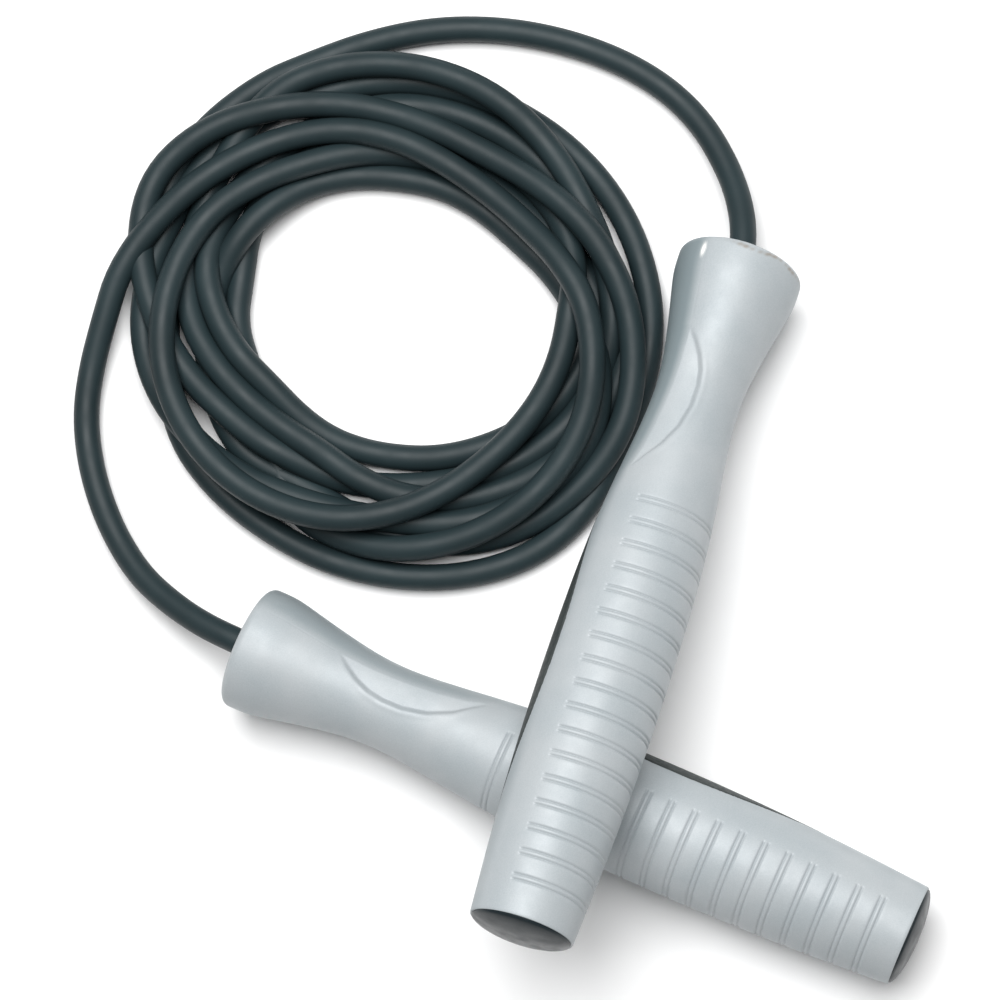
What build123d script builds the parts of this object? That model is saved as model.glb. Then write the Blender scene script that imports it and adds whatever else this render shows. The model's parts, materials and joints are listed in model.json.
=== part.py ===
from build123d import *
from math import cos, pi, radians, sin, tan
import os

# ---------------------------------------------------------------- driving dimensions (mm, degrees)
rope_radius = 3.175
rope_floor = 3.2

# datum of each handle on its axis, just inside the head face; heading from head to tail; upward tilt
head_a = Vector(40.1, 82.2, 14.38)
yaw_a = -107.0
tilt_a = 12.87
head_b = Vector(-77.2, -6.7, 15.01)
yaw_b = -24.1
tilt_b = -0.26

# outside of the grip: (radius, distance from the datum)
handle_length = 169.0
head_face = -0.8
head_corner = 2.0
head_radius = 14.95
grip_outline = [
    (head_radius, head_face + head_corner),
    (14.8, 6),
    (14.1, 10),
    (12.95, 15.5),
    (11.6, 22.5),
    (10.5, 30),
    (10.2, 37),
    (10.75, 46),
    (12.1, 58),
    (13.45, 72),
    (14.2, 89),
    (14.45, 108),
    (14.2, 128),
    (13.4, 148),
    (12.07, handle_length),
]

# inside of the grip
mouth_radius = 5.6
flange = 3.0
bearing_bore = 7.94
bearing_width = 5.0
cavity = [
    (bearing_bore, 44),
    (10.6, 68),
    (11.4, 108),
    (10.6, 145),
    (9.6, 154),
    (9.6, handle_length),
]

# grip details
groove_count = 17
groove_first = 67.3
groove_pitch = 5.84
groove_width = 0.8
groove_depth = 0.3
groove_arc = 214.0
inlay_depth = 1.2
inlay_start = 66.0
inlay_end = 147.0
inlay_half_width = 9.3
scoop_depth = 0.8
scoop_start = 22.0
scoop_end = 60.0
scoop_half_width = 5.5
scoop_offset = 75.0

# clock positions around each axis (0 is up, +90 is to the axis's left)
groove_clock_a = 88.0
inlay_clock_a = -92.0
groove_clock_b = -81.0
inlay_clock_b = 99.0

# ball bearing, retainer and rope stop: positions are distances from the datum
ball_pitch = 5.56
ball_radius = 1.19
ball_count = 8
ball_station = flange + bearing_width / 2
press = 0.02
stop_start = flange + bearing_width
washer_end = stop_start + 1.0
ferrule_end = stop_start + 7.0
rope_end = stop_start + 8.0

# tail plug
cap_radius = 11.7
cap_rise = 2.5
plug_radius = 9.6
plug_length = 10.0

# coil
coil_height = 19.0
coil_outer = [
    (20, 72),
    (14, 104),
    (-5, 128),
    (-34, 141),
    (-67, 135),
    (-96, 116),
    (-112, 90),
    (-110, 58),
    (-99, 31),
    (-78, 16),
    (-53, 9),
    (-30, 8),
    (-6, 16),
    (13, 39),
]
coil_hole = [
    (-3, 71),
    (-11, 89),
    (-34, 100),
    (-61, 97),
    (-79, 77),
    (-77, 57),
    (-59, 45),
    (-34, 41),
    (-11, 51),
]


os.makedirs("parts", exist_ok=True)


# ---------------------------------------------------------------- helpers
def axis_of(yaw, tilt):
    level = cos(radians(tilt))
    return Vector(level * cos(radians(yaw)), level * sin(radians(yaw)), sin(radians(tilt)))


def outward(yaw, tilt, clock):
    """Unit vector square to the handle's axis; clock 0 is up, +90 is to the axis's left."""
    side = Vector(-sin(radians(yaw)), cos(radians(yaw)), 0)
    top = axis_of(yaw, tilt).cross(side)
    return top * cos(radians(clock)) + side * sin(radians(clock))


def half_plane(head, yaw, tilt, clock=0.0):
    """Plane with x = radius and y = distance from the datum."""
    radial = outward(yaw, tilt, clock)
    return Plane(origin=head, x_dir=radial, z_dir=radial.cross(axis_of(yaw, tilt)))


def facing_plane(head, yaw, tilt, clock):
    """Plane through the axis seen from one side: x = distance from the datum."""
    return Plane(origin=head, x_dir=axis_of(yaw, tilt), z_dir=outward(yaw, tilt, clock))


def ring(head, yaw, tilt, inner, outer, start, end):
    with BuildPart() as turned:
        with BuildSketch(half_plane(head, yaw, tilt)):
            with Locations(((inner + outer) / 2, (start + end) / 2)):
                Rectangle(outer - inner, end - start)
        revolve(axis=Axis(head, axis_of(yaw, tilt)))
    return turned


def radius_at(station):
    for (inner, start), (outer, end) in zip(grip_outline, grip_outline[1:]):
        if start <= station <= end:
            return inner + (outer - inner) * (station - start) / (end - start)
    return head_radius


def leaf(start, end, half_width):
    middle = (start + end) / 2
    with BuildSketch(mode=Mode.PRIVATE) as shape:
        with BuildLine():
            Spline((start, 0), (middle, half_width), (end, 0), tangents=[(0.8, 1), (0.8, -1)])
            Spline((end, 0), (middle, -half_width), (start, 0), tangents=[(-0.8, -1), (-0.8, 1)])
        make_face()
    return shape.sketch


def save(piece, name):
    piece.part.label = name
    export_step(piece.part, "parts/" + name + ".step")


def bend_radii(points):
    """Largest comfortable radius at each inner point of a route."""
    radii = []
    for before, here, after in zip(points, points[1:], points[2:]):
        first = Vector(here) - Vector(before)
        second = Vector(after) - Vector(here)
        turn = first.get_angle(second)
        shorter = min(first.length, second.length)
        radii.append(0.45 * shorter / tan(radians(turn / 2)))
    return radii


def rope_run(points, name):
    radii = bend_radii(points)
    with BuildPart() as run:
        with BuildLine() as route:
            line = FilletPolyline(*points, radius=radii)
        with BuildSketch(Plane(origin=line @ 0, z_dir=line % 0)):
            Circle(rope_radius)
        sweep(path=line)
    expected = pi * rope_radius**2 * line.length
    print(name, "radii", [round(value, 1) for value in radii])
    print(name, "length", round(line.length, 1), "volume ratio", round(run.part.volume / expected, 4))
    save(run, name)


# ---------------------------------------------------------------- one handle and what sits inside it
def build_handle(tag, head, yaw, tilt, groove_clock, inlay_clock):
    axis = Axis(head, axis_of(yaw, tilt))
    section = half_plane(head, yaw, tilt)

    # soft panel: a leaf cut from the skin of the grip
    with BuildPart() as inlay:
        with BuildSketch(section):
            with BuildLine():
                outer = Spline(grip_outline)
                inner = Spline([(radius - inlay_depth, station) for radius, station in grip_outline])
                Line(outer @ 0, inner @ 0)
                Line(outer @ 1, inner @ 1)
            make_face()
        revolve(axis=axis)
        with BuildSketch(facing_plane(head, yaw, tilt, inlay_clock)):
            add(leaf(inlay_start, inlay_end, inlay_half_width))
        extrude(amount=20, mode=Mode.INTERSECT)

    # the skin that is scooped away for the thumb, on either side of the panel
    with BuildPart() as scoop:
        with BuildSketch(section):
            with BuildLine():
                above = Spline([(radius + 1, station) for radius, station in grip_outline])
                below = Spline([(radius - scoop_depth, station) for radius, station in grip_outline])
                Line(above @ 0, below @ 0)
                Line(above @ 1, below @ 1)
            make_face()
        revolve(axis=axis)
        with BuildSketch(
            facing_plane(head, yaw, tilt, inlay_clock + scoop_offset),
            facing_plane(head, yaw, tilt, inlay_clock - scoop_offset),
        ):
            add(leaf(scoop_start, scoop_end, scoop_half_width))
        extrude(amount=20, mode=Mode.INTERSECT)

    with BuildPart() as shell:
        with BuildSketch(section):
            with BuildLine():
                Line((mouth_radius, head_face), (head_radius - head_corner, head_face))
                CenterArc((head_radius - head_corner, head_face + head_corner), head_corner, -90, 90)
                Spline(grip_outline)
                Line((grip_outline[-1][0], handle_length), cavity[-1])
                seat = [(bearing_bore, flange), (mouth_radius, flange), (mouth_radius, head_face)]
                Polyline(cavity[::-1] + seat)
            make_face()
        revolve(axis=axis)
        with BuildSketch(half_plane(head, yaw, tilt, groove_clock - groove_arc / 2)):
            for index in range(groove_count):
                station = groove_first + index * groove_pitch
                with Locations((radius_at(station) - groove_depth + 1.0, station)):
                    Rectangle(2.0, groove_width)
        revolve(axis=axis, revolution_arc=-groove_arc, mode=Mode.SUBTRACT)
        add(inlay.part, mode=Mode.SUBTRACT)
        add(scoop.part, mode=Mode.SUBTRACT)

    # tail plug with a low dome
    with BuildPart() as cap:
        with BuildSketch(section):
            with BuildLine():
                Polyline(
                    (0, handle_length + cap_rise),
                    (0, handle_length - plug_length),
                    (plug_radius, handle_length - plug_length),
                    (plug_radius, handle_length),
                    (cap_radius, handle_length),
                )
                Spline(
                    (cap_radius, handle_length),
                    (cap_radius * 0.6, handle_length + cap_rise * 0.8),
                    (0, handle_length + cap_rise),
                    tangents=[(-0.6, 1), (-1, 0)],
                )
            make_face()
        revolve(axis=axis)

    # ball positions
    hub = head + axis_of(yaw, tilt) * ball_station
    spokes = [outward(yaw, tilt, 10 + index * 360 / ball_count) for index in range(ball_count)]
    centres = [hub + spoke * ball_pitch for spoke in spokes]

    with BuildPart() as balls:
        with Locations(centres):
            Sphere(ball_radius)

    with BuildPart() as cage:
        with BuildSketch(section):
            with Locations((ball_pitch, ball_station)):
                Rectangle(0.7, 3.4)
        revolve(axis=axis)
        for centre, spoke in zip(centres, spokes):
            with Locations(Plane(origin=centre, z_dir=spoke)):
                Cylinder(ball_radius + 0.06, 3, mode=Mode.SUBTRACT)

    with BuildPart() as outer_race:
        with BuildSketch(section):
            with Locations(((bearing_bore + 6.55) / 2, ball_station)):
                Rectangle(bearing_bore - 6.55, bearing_width)
            with Locations((ball_pitch, ball_station)):
                Circle(ball_radius - press, mode=Mode.SUBTRACT)
        revolve(axis=axis)

    with BuildPart() as inner_race:
        with BuildSketch(section):
            with Locations(((rope_radius + 4.5) / 2, ball_station)):
                Rectangle(4.5 - rope_radius, bearing_width)
            with Locations((ball_pitch, ball_station)):
                Circle(ball_radius + 0.35, mode=Mode.SUBTRACT)
        revolve(axis=axis)

    save(shell, "handle_" + tag + "_shell")
    save(inlay, "handle_" + tag + "_inlay")
    save(cap, "handle_" + tag + "_cap")
    save(outer_race, "bearing_outer_" + tag)
    save(balls, "bearing_balls_" + tag)
    save(cage, "bearing_cage_" + tag)
    save(inner_race, "bearing_inner_" + tag)
    save(ring(head, yaw, tilt, 6.3, bearing_bore, stop_start, washer_end), "retainer_" + tag)
    save(ring(head, yaw, tilt, rope_radius, 5.7, stop_start, washer_end), "washer_" + tag)
    save(ring(head, yaw, tilt, rope_radius, 4.9, washer_end, ferrule_end), "ferrule_" + tag)


build_handle("a", head_a, yaw_a, tilt_a, groove_clock_a, inlay_clock_a)
build_handle("b", head_b, yaw_b, tilt_b, groove_clock_b, inlay_clock_b)


# ---------------------------------------------------------------- rope outside the coil
def rope_start(head, yaw, tilt, station):
    return head + axis_of(yaw, tilt) * station


lead_a = [
    rope_start(head_a, yaw_a, tilt_a, rope_end),
    rope_start(head_a, yaw_a, tilt_a, -10),
    Vector(40.5, 116.5, 5.2),
    Vector(25.5, 133, rope_floor),
    Vector(0, 144.5, rope_floor),
    Vector(-31, 148, rope_floor),
    Vector(-60.5, 141, rope_floor),
    Vector(-77, 133.5, rope_floor),
]
lead_b = [
    rope_start(head_b, yaw_b, tilt_b, rope_end),
    rope_start(head_b, yaw_b, tilt_b, -10),
    Vector(-108, 10, 5.2),
    Vector(-118, 34, rope_floor),
    Vector(-120.5, 60, rope_floor),
    Vector(-116, 80, 5),
]
rope_run(lead_a, "rope_lead_a")
rope_run(lead_b, "rope_lead_b")

# ---------------------------------------------------------------- outer shape of the coiled rope
with BuildPart() as rope_coil:
    with BuildSketch():
        with BuildLine():
            Spline(coil_outer, periodic=True)
        make_face()
        with BuildLine():
            Spline(coil_hole, periodic=True)
        make_face(mode=Mode.SUBTRACT)
    extrude(amount=coil_height)
    fillet(rope_coil.faces().sort_by(Axis.Z)[-1].edges(), radius=6)
save(rope_coil, "rope_coil")
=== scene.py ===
import json
from math import cos, pi, radians, sin

import bpy
import numpy as np
from mathutils import Matrix, Vector


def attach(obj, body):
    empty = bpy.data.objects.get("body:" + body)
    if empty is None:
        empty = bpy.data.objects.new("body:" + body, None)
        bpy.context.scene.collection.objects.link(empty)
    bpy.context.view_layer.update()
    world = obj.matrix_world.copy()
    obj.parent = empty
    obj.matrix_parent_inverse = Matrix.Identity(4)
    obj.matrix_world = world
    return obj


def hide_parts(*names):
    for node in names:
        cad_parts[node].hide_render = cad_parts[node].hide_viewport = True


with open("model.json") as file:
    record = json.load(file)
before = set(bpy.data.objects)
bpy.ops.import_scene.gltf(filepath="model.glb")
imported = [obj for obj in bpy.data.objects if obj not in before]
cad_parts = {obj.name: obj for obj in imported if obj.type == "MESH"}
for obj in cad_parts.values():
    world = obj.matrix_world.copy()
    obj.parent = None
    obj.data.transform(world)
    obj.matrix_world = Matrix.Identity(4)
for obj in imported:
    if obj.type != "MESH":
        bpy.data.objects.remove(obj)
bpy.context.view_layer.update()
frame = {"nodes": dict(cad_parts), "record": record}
record = frame["record"]
mm = 0.001

# ---------------------------------------------------------------- camera
aim = Vector((-0.0193, 0.02975, 0.0))
eye = Vector((0.0926, -0.1118, 0.8994))
back = (eye - aim).normalized()
right = Vector((0, 1, 0)).cross(back).normalized()
up = back.cross(right)
camera_data = bpy.data.cameras.new("camera")
camera_data.lens = 137.1
camera_data.sensor_width = 36
camera_data.clip_start = 0.01
camera = bpy.data.objects.new("camera", camera_data)
bpy.context.scene.collection.objects.link(camera)
camera.matrix_world = Matrix(
    (
        (right.x, up.x, back.x, eye.x),
        (right.y, up.y, back.y, eye.y),
        (right.z, up.z, back.z, eye.z),
        (0, 0, 0, 1),
    )
)
bpy.context.scene.camera = camera
bpy.context.scene.view_settings.view_transform = "Standard"

# ---------------------------------------------------------------- where the handles are
spins = {joint["name"]: joint for joint in record["behaviour"]["joints"]}
head = {}
axis = {}
for tag in "ab":
    spin = spins["handle_" + tag + "_spin"]
    head[tag] = np.array(spin["pos_m"])
    axis[tag] = np.array(spin["axis"]) / np.linalg.norm(spin["axis"])


def side_and_top(tag):
    side = np.array([-axis[tag][1], axis[tag][0], 0.0])
    side /= np.linalg.norm(side)
    return side, np.cross(axis[tag], side)


# ---------------------------------------------------------------- rope
rope_d = 0.00635
coil_centre = np.array([-43.8, 74.55])
rope_floor = 3.2
layer_rise = 6.2
clearance = 6.3
sweeps = 260
# one row per turn, one number per 30 degrees from 120 degrees on: distance from the coil's centre, mm;
# the visible strands were traced, converted to mm and adjusted, the rest guessed; the visible strands were
# traced by eye, converted to mm by a separate script and adjusted, the rest guessed
turn_radius = [
    [67, 66, 57, 60, 60, 63, 66, 61, 61, 59, 57, 58],
    [61, 61, 62, 57, 51, 50, 55, 58, 45, 35, 34, 38],
    [43, 44, 47, 47, 45, 53, 60, 61, 56, 48, 44, 49],
    [60, 68, 59, 47, 43, 43, 45, 49, 53, 52, 57, 61],
    [63, 55, 50, 42, 40, 44, 49, 54, 53, 49, 49, 52],
    [51, 50, 43, 36, 34, 35, 42, 48, 50, 42, 40, 39],
    [42, 51, 56, 57, 54, 49, 43, 42, 44, 46, 47, 49],
    [44, 44, 41, 38, 51, 56, 57, 54, 46, 38, 37, 42],
    [51, 61, 71],
]
# which strand lies on which at the same places: the larger number lies on top
turn_layer = [
    [0, 0, 0, 0, 0, 0, 0, 0, 0, 0, 0, 0],
    [0, 0.5, 1, 1, 1.2, 1.2, 0.5, 1.3, 1.0, 0.6, 0, 0],
    [0.5, 0.8, 0.5, 0.6, 0.6, 0.2, 1, 1, 2, 2, 2, 2],
    [2, 1.5, 2, 1.3, 1.3, 0.6, 0.3, 0.6, 0.8, 1, 1, 1],
    [1, 1, 1.5, 2, 2, 1.5, 1.2, 0, 0, 0, 0, 0],
    [0, 1.5, 1.2, 1, 0.8, 0.8, 1, 0, 0, 0, 0, 1],
    [2, 2.5, 3, 2.5, 2.5, 2.5, 2.2, 1.5, 1.8, 1, 1, 1],
    [1, 0, 0, 0, 0.2, 1.4, 2.3, 2.5, 3, 1.6, 1.4, 2],
    [3, 3, 1.8],
]
per_turn = 24
radius_steps = [value for row in turn_radius for value in row]
layer_steps = [value for row in turn_layer for value in row]


def smooth(steps, where):
    """Catmull-Rom through evenly spaced numbers."""
    index = min(int(where), len(steps) - 2)
    u = where - index
    p0 = steps[max(index - 1, 0)]
    p1 = steps[index]
    p2 = steps[index + 1]
    p3 = steps[min(index + 2, len(steps) - 1)]
    bend = 2 * p0 - 5 * p1 + 4 * p2 - p3
    twist = 3 * p1 - p0 - 3 * p2 + p3
    return 0.5 * (2 * p1 + (p2 - p0) * u + bend * u**2 + twist * u**3)


coil = []
count = (len(radius_steps) - 1) * per_turn // 12
for index in range(count + 1):
    where = index * 12 / per_turn
    angle = radians(120 + 30 * where)
    reach = smooth(radius_steps, where) / 0.991
    height = rope_floor + layer_rise * smooth(layer_steps, where)
    coil.append([coil_centre[0] + reach * cos(angle), coil_centre[1] + reach * sin(angle), height])

lead_a = [[40.9, 89.6, 12.7], [39.9, 99.0, 9.5], [36.6, 109.0, 6.2], [30.5, 120.5, 3.8]]
lead_a += [[21.5, 130.0, 3.2], [9.5, 137.5, 3.2], [-5.0, 143.0, 3.2], [-20.0, 146.0, 3.2]]
lead_a += [[-36.0, 146.3, 3.2], [-52.0, 143.2, 3.2], [-66.0, 138.0, 3.2]]
lead_b = [[-119.0, 64.0, 5.0], [-120.8, 53.0, 3.2], [-119.8, 42.0, 3.2], [-117.0, 31.5, 3.2]]
lead_b += [[-112.5, 21.5, 3.8], [-106.0, 12.0, 6.0], [-98.0, 5.0, 9.0], [-89.5, -0.8, 12.2]]
lead_b += [[-81.0, -5.0, 14.6]]
inside_a = [list((head["a"] + axis["a"] * s * mm) * 1000) for s in (16, 9, 2)]
inside_b = [list((head["b"] + axis["b"] * s * mm) * 1000) for s in (2, 9, 16)]
route = np.array(inside_a + lead_a + coil + lead_b + inside_b)

# let the coil drop and settle: strands push one another apart, rest on the floor and stay near their route
fixed_start = len(inside_a) + 5
fixed_end = len(route) - len(inside_b) - 6
halves = np.linspace(0, len(route) - 1, 2 * len(route) - 1)
home = np.array([[smooth(list(route[:, k]), w) for k in range(3)] for w in halves])
order = np.arange(len(home))
free = (order > 2 * fixed_start) & (order < 2 * fixed_end)
loosen = np.clip(np.minimum(order - 2 * fixed_start, 2 * fixed_end - order) / 12, 0, 1)[:, None]
spot = home.copy()
spot[:, 2] = rope_floor + (home[:, 2] - rope_floor) * (1 + 0.35 * loosen[:, 0])
apart = np.abs(order[:, None] - order[None, :]) > 14
for sweep in range(sweeps):
    drift = spot - home
    eased = drift.copy()
    eased[1:-1] = 0.4 * drift[1:-1] + 0.3 * (drift[:-2] + drift[2:])
    eased[:, :2] *= 0.93
    lift = spot[:, 2].copy()
    lift[1:-1] = 0.4 * spot[1:-1, 2] + 0.3 * (spot[:-2, 2] + spot[2:, 2])
    moved = np.column_stack([home[:, :2] + eased[:, :2], lift - 0.10])
    spot = np.where(free[:, None], moved, home)
    for press in range(3):
        away = spot[:, None, :] - spot[None, :, :]
        space = np.linalg.norm(away, axis=2)
        touch = (space < clearance) & apart
        amount = np.where(touch, (clearance - space) / np.maximum(space, 0.5), 0)
        near = np.maximum(touch.sum(axis=1), 1)
        push = (away * amount[:, :, None]).sum(axis=1) / near[:, None] * 0.6
        spot = np.where(free[:, None], spot + push, home)
        spot[:, 2] = np.maximum(spot[:, 2], rope_floor)
overlap = float((clearance - space[apart]).max())
route = spot[::2]
print("highest rope point mm", round(float(route[:, 2].max()), 1), "deepest overlap mm", round(overlap, 2))

rope_curve = bpy.data.curves.new("rope", "CURVE")
rope_curve.dimensions = "3D"
rope_curve.resolution_u = 6
rope_curve.bevel_depth = 1.0
rope_curve.bevel_resolution = 6
rope_curve.use_fill_caps = True
spline = rope_curve.splines.new("NURBS")
spline.points.add(len(route) - 1)
for point, place in zip(spline.points, route):
    point.co = (place[0] * mm, place[1] * mm, place[2] * mm, 1)
    point.radius = rope_d / 2
spline.order_u = 3
spline.use_endpoint_u = True
rope = bpy.data.objects.new("rope", rope_curve)
bpy.context.scene.collection.objects.link(rope)
steps = np.linalg.norm(np.diff(route, axis=0), axis=1)
rope_length = float(steps.sum()) * mm
print("rope length m", round(rope_length, 3))
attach(rope, "rope")
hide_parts("rope_lead_a", "rope_coil", "rope_lead_b")


# ---------------------------------------------------------------- materials
def material(name, colour, roughness, metallic=0.0, coat=0.0):
    made = bpy.data.materials.new(name)
    made.use_nodes = True
    shader = made.node_tree.nodes["Principled BSDF"]
    shader.inputs["Base Color"].default_value = (*colour, 1)
    shader.inputs["Roughness"].default_value = roughness
    shader.inputs["Metallic"].default_value = metallic
    shader.inputs["Coat Weight"].default_value = coat
    return made


def noise(made, scale, detail=3.0, stretch=(1, 1, 1)):
    nodes = made.node_tree.nodes
    links = made.node_tree.links
    place = nodes.new("ShaderNodeTexCoord")
    mapping = nodes.new("ShaderNodeMapping")
    mapping.inputs["Scale"].default_value = stretch
    texture = nodes.new("ShaderNodeTexNoise")
    texture.inputs["Scale"].default_value = scale
    texture.inputs["Detail"].default_value = detail
    links.new(place.outputs["Object"], mapping.inputs["Vector"])
    links.new(mapping.outputs["Vector"], texture.inputs["Vector"])
    return texture.outputs["Fac"]


def spread(made, source, low, high, start=0.3, end=0.7):
    """Maps a value onto low to high."""
    node = made.node_tree.nodes.new("ShaderNodeMapRange")
    node.inputs["From Min"].default_value = start
    node.inputs["From Max"].default_value = end
    node.inputs["To Min"].default_value = low
    node.inputs["To Max"].default_value = high
    made.node_tree.links.new(source, node.inputs["Value"])
    return node.outputs["Result"]


def mix(made, factor, first, second):
    node = made.node_tree.nodes.new("ShaderNodeMix")
    node.data_type = "RGBA"
    for socket, value in ((node.inputs[6], first), (node.inputs[7], second)):
        if isinstance(value, tuple):
            socket.default_value = (*value, 1)
        else:
            made.node_tree.links.new(value, socket)
    made.node_tree.links.new(factor, node.inputs[0])
    return node.outputs[2]


def bumps(made, layers):
    """layers = [(height source, distance in metres, strength)]"""
    nodes = made.node_tree.nodes
    links = made.node_tree.links
    before = None
    for source, distance, strength in layers:
        bump = nodes.new("ShaderNodeBump")
        bump.inputs["Distance"].default_value = distance
        bump.inputs["Strength"].default_value = strength
        links.new(source, bump.inputs["Height"])
        if before is not None:
            links.new(before, bump.inputs["Normal"])
        before = bump.outputs["Normal"]
    links.new(before, nodes["Principled BSDF"].inputs["Normal"])


def drive(made, socket, source):
    made.node_tree.links.new(source, made.node_tree.nodes["Principled BSDF"].inputs[socket])


def attribute(made, name):
    node = made.node_tree.nodes.new("ShaderNodeAttribute")
    node.attribute_name = name
    return node.outputs["Fac"]


# rope: smooth extruded cord with handling haze
rope_cord = material("rope_cord", (0.030, 0.043, 0.049), 0.4)
haze = noise(rope_cord, 45, 4)
shade = mix(rope_cord, spread(rope_cord, haze, 0, 1), (0.011, 0.021, 0.024), (0.018, 0.032, 0.036))
drive(rope_cord, "Base Color", shade)
drive(rope_cord, "Roughness", spread(rope_cord, noise(rope_cord, 160, 3), 0.47, 0.58))
bumps(rope_cord, [(noise(rope_cord, 60, 2), 0.0004, 0.12), (noise(rope_cord, 1800, 2), 0.00003, 0.25)])
rope_cord.node_tree.nodes["Principled BSDF"].inputs["IOR"].default_value = 1.36
rope.data.materials.append(rope_cord)

# silver moulded plastic: fine flake, flow marks, painted shade on the side towards the panel, wear and a
# chip at the head
grip_silver = material("grip_silver", (0.37, 0.4, 0.41), 0.42, 0.05)
flow = spread(grip_silver, noise(grip_silver, 70, 3), 0, 1, 0.35, 0.65)
flake = spread(grip_silver, noise(grip_silver, 4200, 1), 0, 1, 0.3, 0.7)
base = mix(grip_silver, flow, (0.325, 0.362, 0.38), (0.365, 0.395, 0.41))
base = mix(grip_silver, spread(grip_silver, flake, 0.0, 0.22, 0, 1), base, (0.55, 0.57, 0.585))
# painted shade: mixes a darker tone onto the side towards the panel
base = mix(grip_silver, attribute(grip_silver, "flank_painted_shade"), base, (0.19, 0.235, 0.25))
base = mix(grip_silver, attribute(grip_silver, "wear"), base, (0.23, 0.195, 0.155))
base = mix(grip_silver, attribute(grip_silver, "chip"), base, (0.8, 0.8, 0.78))
drive(grip_silver, "Base Color", base)
drive(grip_silver, "Roughness", spread(grip_silver, noise(grip_silver, 240, 4), 0.43, 0.55))
bumps(grip_silver, [(noise(grip_silver, 90, 2), 0.0005, 0.1), (flake, 0.00002, 0.3)])

# soft panel
grip_panel = material("grip_panel", (0.055, 0.07, 0.066), 0.62)
grain = noise(grip_panel, 900, 3)
cloud = spread(grip_panel, noise(grip_panel, 60), 0, 1)
drive(grip_panel, "Base Color", mix(grip_panel, cloud, (0.016, 0.023, 0.023), (0.026, 0.036, 0.035)))
drive(grip_panel, "Roughness", spread(grip_panel, grain, 0.5, 0.72))
bumps(grip_panel, [(grain, 0.00008, 0.5)])

# tail plug
tail_plug = material("tail_plug", (0.07, 0.085, 0.083), 0.34)
cloud = spread(tail_plug, noise(tail_plug, 80), 0, 1)
drive(tail_plug, "Base Color", mix(tail_plug, cloud, (0.008, 0.014, 0.017), (0.015, 0.023, 0.027)))
tail_plug.node_tree.nodes["Principled BSDF"].inputs["IOR"].default_value = 1.38
drive(tail_plug, "Roughness", spread(tail_plug, noise(tail_plug, 300, 3), 0.28, 0.45))
bumps(tail_plug, [(noise(tail_plug, 1200, 2), 0.00004, 0.3)])

# hidden metal
bearing_steel = material("bearing_steel", (0.72, 0.73, 0.75), 0.2, 1.0)
drive(bearing_steel, "Roughness", spread(bearing_steel, noise(bearing_steel, 600, 3), 0.14, 0.3))
cage_brass = material("cage_brass", (0.72, 0.55, 0.28), 0.35, 1.0)
drive(cage_brass, "Roughness", spread(cage_brass, noise(cage_brass, 500, 3), 0.28, 0.45))
plain_steel = material("plain_steel", (0.62, 0.63, 0.65), 0.38, 1.0)
drive(plain_steel, "Roughness", spread(plain_steel, noise(plain_steel, 500, 3, (1, 1, 6)), 0.3, 0.5))
ferrule_alloy = material("ferrule_alloy", (0.75, 0.76, 0.77), 0.4, 1.0)
drive(ferrule_alloy, "Roughness", spread(ferrule_alloy, noise(ferrule_alloy, 700, 3), 0.32, 0.5))
finishes = {
    "bearing_steel": bearing_steel,
    "cage_brass": cage_brass,
    "plain_steel": plain_steel,
    "ferrule_alloy": ferrule_alloy,
}
for part in record["subparts"]:
    if part["material_slot"] in finishes:
        shown = frame["nodes"][part["node"]]
        shown.data.materials.clear()
        shown.data.materials.append(finishes[part["material_slot"]])


# ---------------------------------------------------------------- handles
# outside of the grip: (radius, distance from the datum), mm; the head face is at -0.8
grip_outline = [
    (14.95, 1.2),
    (14.8, 6),
    (14.1, 10),
    (12.95, 15.5),
    (11.6, 22.5),
    (10.5, 30),
    (10.2, 37),
    (10.75, 46),
    (12.1, 58),
    (13.45, 72),
    (14.2, 89),
    (14.45, 108),
    (14.2, 128),
    (13.4, 148),
    (12.07, 169),
]
outline_s = np.array([station for radius, station in grip_outline])
outline_r = np.array([radius for radius, station in grip_outline])


def natural_spline(x, y):
    """Second derivatives of the cubic through the points."""
    n = len(x)
    h = np.diff(x)
    system = np.eye(n)
    known = np.zeros(n)
    for i in range(1, n - 1):
        system[i, i - 1 : i + 2] = [h[i - 1], 2 * (h[i - 1] + h[i]), h[i]]
        known[i] = 6 * ((y[i + 1] - y[i]) / h[i] - (y[i] - y[i - 1]) / h[i - 1])
    return np.linalg.solve(system, known)


outline_m = natural_spline(outline_s, outline_r)


def grip_radius(s):
    s = np.clip(s, outline_s[0], outline_s[-1])
    i = np.clip(np.searchsorted(outline_s, s) - 1, 0, len(outline_s) - 2)
    h = outline_s[i + 1] - outline_s[i]
    a = (outline_s[i + 1] - s) / h
    b = 1 - a
    curve = (a**3 - a) * outline_m[i] + (b**3 - b) * outline_m[i + 1]
    return a * outline_r[i] + b * outline_r[i + 1] + curve * h * h / 6


def ease(x, start, end):
    u = np.clip((x - start) / (end - start), 0, 1)
    return u * u * (3 - 2 * u)


groove_first, groove_pitch, groove_count = 67.3, 5.84, 17
groove_half_arc = 107.0
panel_start, panel_end, panel_half = 67.0, 147.0, 9.4
# clock of the grooves' middle and of the panel's, degrees; 0 is up, +90 is to the axis's left
clocks = {"a": (88.0, -92.0), "b": (-81.0, 99.0)}
# thumb dish: (distance from the head face, degrees from the panel's middle to the lip)
lip = [(22, 64), (25, 77), (28.5, 88), (32, 95.5), (36, 99), (41, 98.5), (47, 91.5), (52.6, 77.5)]
lip += [(57.5, 57), (60, 44)]
lip_s = np.array([place for place, angle in lip])
lip_w = np.array([angle for place, angle in lip])
crease = [(22, 64), (26, 62.5), (30, 61.5), (36, 60), (42, 58.5), (48, 56.5), (54, 53), (60, 44)]
crease_s = np.array([place for place, angle in crease])
crease_w = np.array([angle for place, angle in crease])


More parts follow.
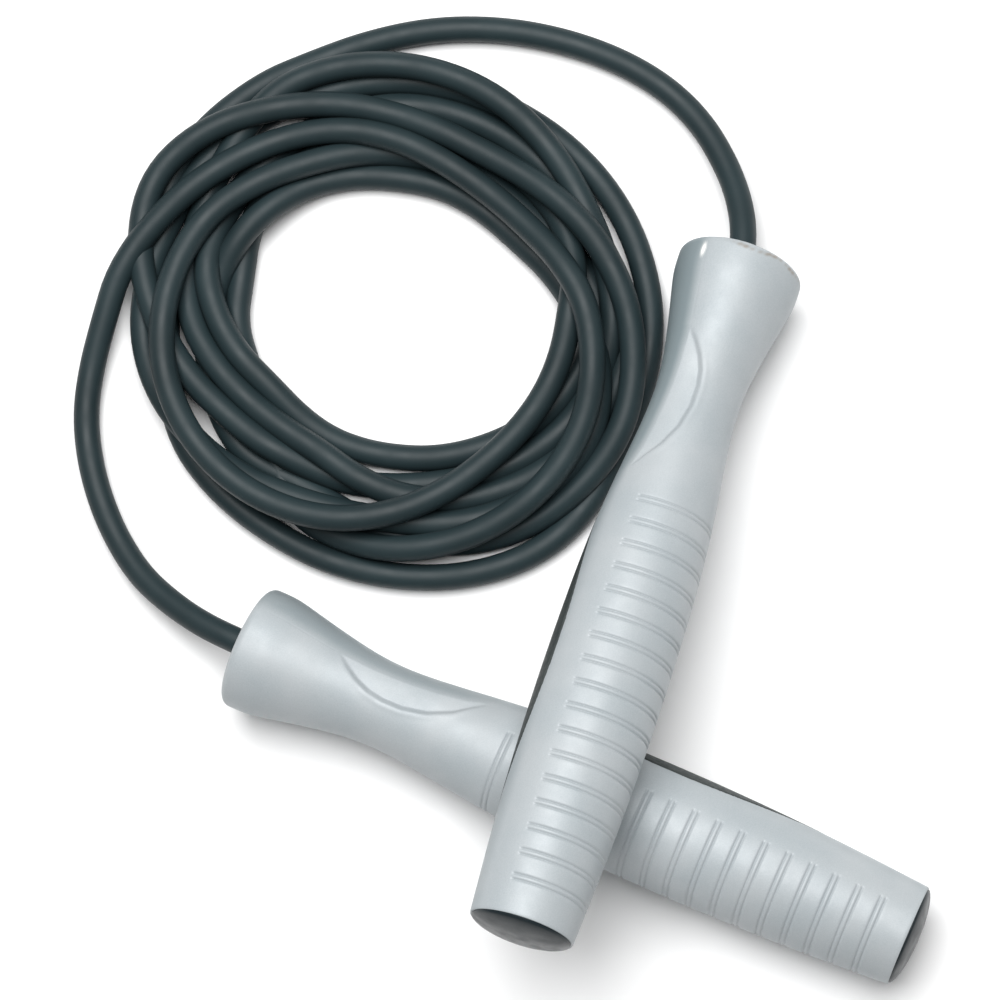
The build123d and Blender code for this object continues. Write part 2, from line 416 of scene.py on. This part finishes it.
def panel_width(s):
    """Half width of the leaf at s, mm."""
    u = np.clip((s - panel_start) / (panel_end - panel_start), 0, 1)
    lean = u**0.92
    return panel_half * np.sin(pi * lean) ** 0.85


def skin(s, t, tag):
    """Radius of the shell's outside, mm, at distance s and clock t (arrays)."""
    groove_clock, panel_clock = clocks[tag]
    radius = grip_radius(s)
    # pairs of fine grooves
    from_grooves = np.abs((t - groove_clock + 180) % 360 - 180)
    along = (s - groove_first + groove_pitch / 2) % groove_pitch - groove_pitch / 2
    there = (s > groove_first - groove_pitch / 2) & (s < groove_first + (groove_count - 0.5) * groove_pitch)
    lines = np.exp(-(((along - 0.62) / 0.26) ** 2)) + np.exp(-(((along + 0.62) / 0.26) ** 2))
    fade = 1 - ease(from_grooves, groove_half_arc - 1.5, groove_half_arc + 1.5)
    radius = radius - 0.30 * lines * there * fade
    # recess under the panel
    from_panel = np.abs((t - panel_clock + 180) % 360 - 180)
    across = np.radians(from_panel) * grip_radius(s)
    inside = panel_width(s) + 0.15 - across
    radius = radius - 1.1 * ease(inside, -0.05, 0.25) * (s > panel_start - 1) * (s < panel_end + 1)
    # thumb dishes either side of the panel: a sharp lip, then a flat floor that rises to a crease
    lip_here = np.interp(s, lip_s, lip_w)
    crease_here = np.interp(s, crease_s, crease_w)
    depth_here = 1.25 * np.sin(pi * np.clip((s - 22) / 38, 0, 1)) ** 0.55
    beyond = np.radians(lip_here - from_panel) * grip_radius(s)
    reach = np.clip((lip_here - from_panel) / np.maximum(lip_here - crease_here, 1.0), 0, 1)
    floor_of_dish = ease(beyond, 0.0, 1.6) * (1 - reach**1.5)
    ridge = 0.10 * np.exp(-(((beyond + 0.5) / 0.8) ** 2))
    radius = radius - depth_here * (floor_of_dish - ridge) * (s > 22) * (s < 60)
    # parting line from the head to the dish
    seam = np.exp(-((np.radians(from_panel - 63) * 14 / 0.18) ** 2))
    radius = radius - 0.05 * seam * ease(s, 1, 4) * (1 - ease(s, 20, 23))
    return radius


def place_on(tag, s, t, radius):
    """Metres in the row frame, from mm along the axis, clock degrees and mm from the axis."""
    side, top = side_and_top(tag)
    t = np.radians(t)
    out = np.cos(t)[..., None] * top + np.sin(t)[..., None] * side
    return head[tag] + (s[..., None] * axis[tag] + radius[..., None] * out) * mm


def mesh_from(name, points, faces, attributes=None, smooth_angle=35):
    mesh = bpy.data.meshes.new(name)
    mesh.from_pydata([tuple(p) for p in points], [], faces)
    for key, values in (attributes or {}).items():
        layer = mesh.attributes.new(key, "FLOAT", "POINT")
        layer.data.foreach_set("value", values.astype(np.float32).ravel())
    mesh.validate()
    mesh.update()
    made = bpy.data.objects.new(name, mesh)
    bpy.context.scene.collection.objects.link(made)
    mesh.shade_smooth()
    if smooth_angle:
        mesh.set_sharp_from_angle(angle=radians(smooth_angle))
    return made


def grid_faces(rows, columns, wrap_rows=False, wrap_columns=True):
    faces = []
    for i in range(rows if wrap_rows else rows - 1):
        for j in range(columns if wrap_columns else columns - 1):
            k = (j + 1) % columns
            m = (i + 1) % rows
            faces.append((i * columns + j, i * columns + k, m * columns + k, m * columns + j))
    return faces


def turned(name, tag, profile, columns=96, closed=False):
    """Surface of revolution round the handle's axis from (radius, distance) points, mm."""
    t = np.arange(columns) * 360 / columns
    s = np.array([q[1] for q in profile])[:, None] + 0 * t[None, :]
    r = np.array([max(q[0], 0.0001) for q in profile])[:, None] + 0 * t[None, :]
    points = place_on(tag, s, t[None, :] + 0 * s, r).reshape(-1, 3)
    return mesh_from(name, points, grid_faces(len(profile), columns, wrap_rows=closed))


def arc(cx, cy, radius, start, end, steps):
    return [
        (cx + radius * cos(radians(a)), cy + radius * sin(radians(a)))
        for a in np.linspace(start, end, steps)
    ]


columns = 420
cavity = [(9.6, 169), (9.6, 154), (10.6, 145), (11.4, 108), (10.6, 68), (7.94, 44), (7.94, 3), (5.6, 3)]


def build_shell(tag):
    stations = list(np.linspace(1.2, 66, 156)) + list(np.linspace(164.4, 168.7, 10))
    for index in range(groove_count):
        middle = groove_first + index * groove_pitch
        for offset in (0, 0.2, 0.36, 0.48, 0.62, 0.76, 0.88, 1.04, 1.3, 1.8, 2.4, 2.92):
            stations += [middle + offset, middle - offset]
    stations = np.unique(np.round([q for q in stations if 1.2 <= q <= 168.7], 3))
    corner = arc(12.95, 1.2, 2.0, -90, -6, 9)
    t = np.arange(columns) * 360 / columns
    before = [(5.6, 0.0), (6.3, -0.8), (9.5, -0.8)] + corner
    after = [(11.95, 169.0)] + cavity
    s_rows = [q[1] for q in before] + list(stations) + [q[1] for q in after]
    s = np.array(s_rows)[:, None] + 0 * t[None, :]
    tt = t[None, :] + 0 * s
    r = np.zeros_like(s)
    r[: len(before)] = np.array([q[0] for q in before])[:, None]
    outside = slice(len(before), len(before) + len(stations))
    r[outside] = skin(s[outside], tt[outside], tag)
    r[outside.stop :] = np.array([q[0] for q in after])[:, None]
    points = place_on(tag, s, tt, r).reshape(-1, 3)
    # wear along one side of the head's rim, and one small chip
    around = np.radians(tt)
    patchy = 0.6 + 0.25 * np.sin(13 * around + 1.1 * s) + 0.2 * np.sin(52 * around + 2.7 * s)
    rim = np.exp(-(((s - 0.7 - 0.4 * np.sin(7 * around)) / 0.65) ** 2)) * (r > 10)
    middle = {"a": 40.0, "b": 150.0}[tag]
    reach = np.abs((tt - middle + 180) % 360 - 180)
    wear = np.clip(1.3 * rim * patchy - 0.3, 0, 0.75) * (1 - ease(reach, 30, 60))
    spot = {"a": (-33.0, 3.4), "b": (120.0, 3.0)}[tag]
    across = np.radians((tt - spot[0] + 180) % 360 - 180) * 14.8
    chip = np.exp(-((across / 0.7) ** 2) - (((s - spot[1]) / 1.9) ** 2)) * (r > 10)
    chip = np.clip(chip * 1.8 - 0.35 + 0.2 * np.sin(9 * s) * np.sin(172 * around), 0, 1) * (chip > 0.05)
    # painted shade: the side towards the panel is painted darker, standing in for shade and dark
    # reflections, from the parting line and the dish's crease on; stronger on handle a than on b
    from_panel = np.abs((tt - clocks[tag][1] + 180) % 360 - 180)
    line = np.where(s < 22, 63.0, np.interp(s, crease_s, crease_w))
    flank_painted_shade = (1 - ease(from_panel, line - 14, line + 3)) * (0.25 + 0.75 * (1 - ease(s, 50, 80))) * (r > 10)
    flank_painted_shade *= {"a": 0.95, "b": 0.5}[tag]
    rows = len(s_rows)
    shell = mesh_from(
        "shell_" + tag,
        points,
        grid_faces(rows, columns, wrap_rows=True),
        {"wear": wear, "chip": chip, "flank_painted_shade": flank_painted_shade},
    )
    return shell


def build_panel(tag):
    rows, across = 150, 40
    u = np.linspace(0.0, 1.0, rows)
    s = panel_start + (panel_end - panel_start) * (0.5 - 0.5 * np.cos(pi * u))
    v = np.linspace(-1, 1, across)
    width = panel_width(s)
    width[0] = width[-1] = 0.02
    offset = width[:, None] * v[None, :]
    base_r = grip_radius(s)[:, None]
    t = clocks[tag][1] + np.degrees(offset / base_r)
    edge = width[:, None] - np.abs(offset)
    top = base_r + 0.05 - 0.4 * (1 - ease(edge, 0.0, 0.5)) ** 2
    ss = s[:, None] + 0 * v[None, :]
    upper = place_on(tag, ss, t, top).reshape(-1, 3)
    lower = place_on(tag, ss, t, base_r - 1.0 + 0 * v[None, :]).reshape(-1, 3)
    count = rows * across
    faces = grid_faces(rows, across, wrap_columns=False)
    faces += [tuple(count + i for i in reversed(face)) for face in faces]
    ring = [i * across for i in range(rows)]
    ring2 = [i * across + across - 1 for i in range(rows)]
    for low, high in zip(ring, ring[1:]):
        faces.append((low, high, count + high, count + low))
    for low, high in zip(ring2, ring2[1:]):
        faces.append((high, low, count + low, count + high))
    return mesh_from("panel_" + tag, np.vstack([upper, lower]), faces)


def build_cap(tag):
    profile = [(0.0, 159.0), (9.5, 159.0), (9.5, 168.4), (11.35, 168.7), (11.6, 168.95), (11.62, 169.15)]
    profile += [(11.45, 169.45), (11.0, 169.75), (10.0, 170.2), (8.5, 170.65), (6.5, 171.05)]
    profile += [(4.0, 171.35), (0.0, 171.5)]
    return turned("cap_" + tag, tag, profile, 160)


for tag in "ab":
    body = "handle_" + tag
    for made, finish, slot_name, node in (
        (build_shell(tag), grip_silver, "grip_silver", "handle_" + tag + "_shell"),
        (build_panel(tag), grip_panel, "grip_panel", "handle_" + tag + "_inlay"),
        (build_cap(tag), tail_plug, "tail_plug", "handle_" + tag + "_cap"),
    ):
        made.data.materials.append(finish)
        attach(made, body)
        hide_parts(node)

# ---------------------------------------------------------------- floor, light
bpy.ops.mesh.primitive_plane_add(size=6, location=(0, 0, 0))
floor = bpy.context.object
floor.name = "floor"
floor.data.materials.append(material("floor", (0.92, 0.92, 0.92), 0.95))
world = bpy.data.worlds.new("world")
world.use_nodes = True
world.node_tree.nodes["Background"].inputs[0].default_value = (1, 1, 1, 1)
world.node_tree.nodes["Background"].inputs[1].default_value = 0.22
bpy.context.scene.world = world


def lamp(name, place, target, size, power):
    data = bpy.data.lights.new(name, "AREA")
    data.size = size
    data.energy = power
    made = bpy.data.objects.new(name, data)
    made.location = place
    made.rotation_euler = (Vector(target) - Vector(place)).to_track_quat("-Z", "Y").to_euler()
    bpy.context.scene.collection.objects.link(made)


lamp("key", (-0.02, 0.28, 1.1), (-0.02, 0.02, 0), 0.9, 20.5)
